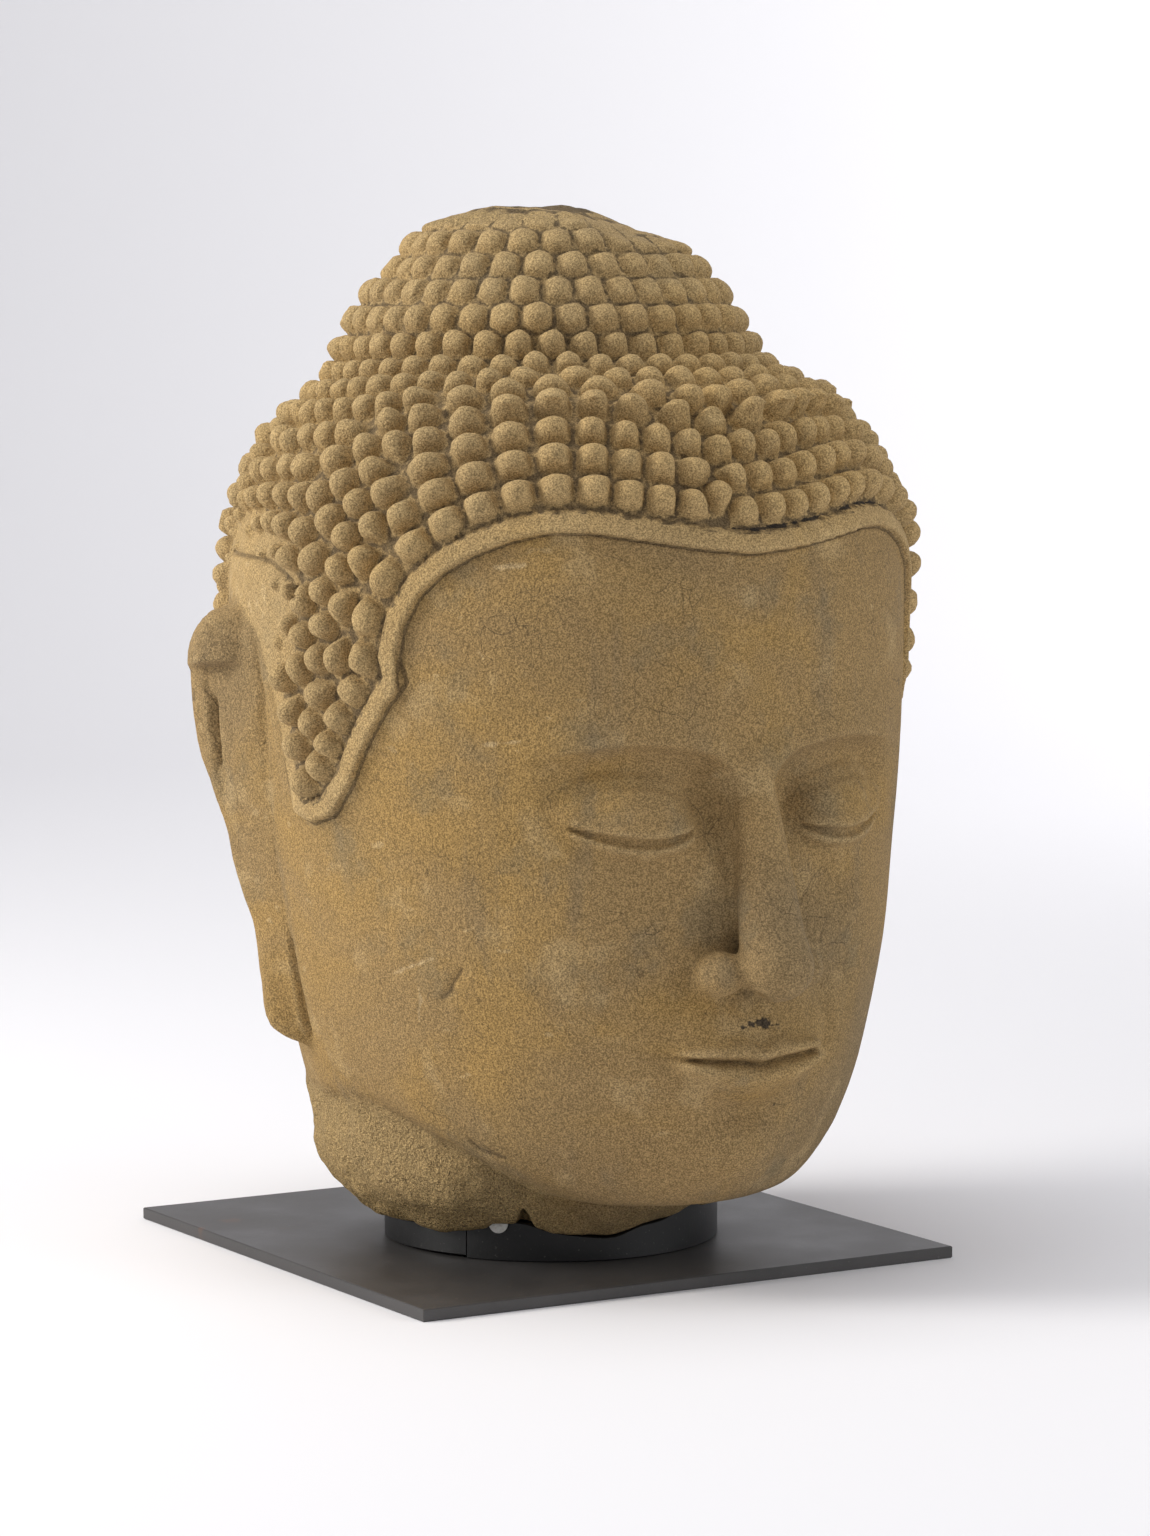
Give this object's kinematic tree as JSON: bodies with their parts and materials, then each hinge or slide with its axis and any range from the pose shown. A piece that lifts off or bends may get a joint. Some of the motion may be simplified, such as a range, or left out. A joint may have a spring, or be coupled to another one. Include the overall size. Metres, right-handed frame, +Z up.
{
  "type": "stone buddha head on a steel stand",
  "caption": "Colossal carved sandstone Buddha head with rows of hair curls, broken ears, neck and crown, standing on a steel collar and plate.",
  "frame": {"origin": "centre of the base plate's underside", "axes": "+Z up, the face looks towards -Y, the head's own right side is at -X"},
  "size_m": [0.4674, 0.5338, 0.6923],
  "materials": {
    "sandstone": "weathered ochre-brown sandstone, medium grain, matte, with dark stains and pale scratches",
    "collar_steel": "black satin, bent flat bar",
    "plate_steel": "black satin, with faint brown rust bloom and specks",
    "white_putty": "matte white putty"
  },
  "bodies": {
    "root": {"stone_head": "sandstone", "steel_collar": "collar_steel", "base_plate": "plate_steel", "putty_dab": "white_putty"}
  },
  "joints": []
}
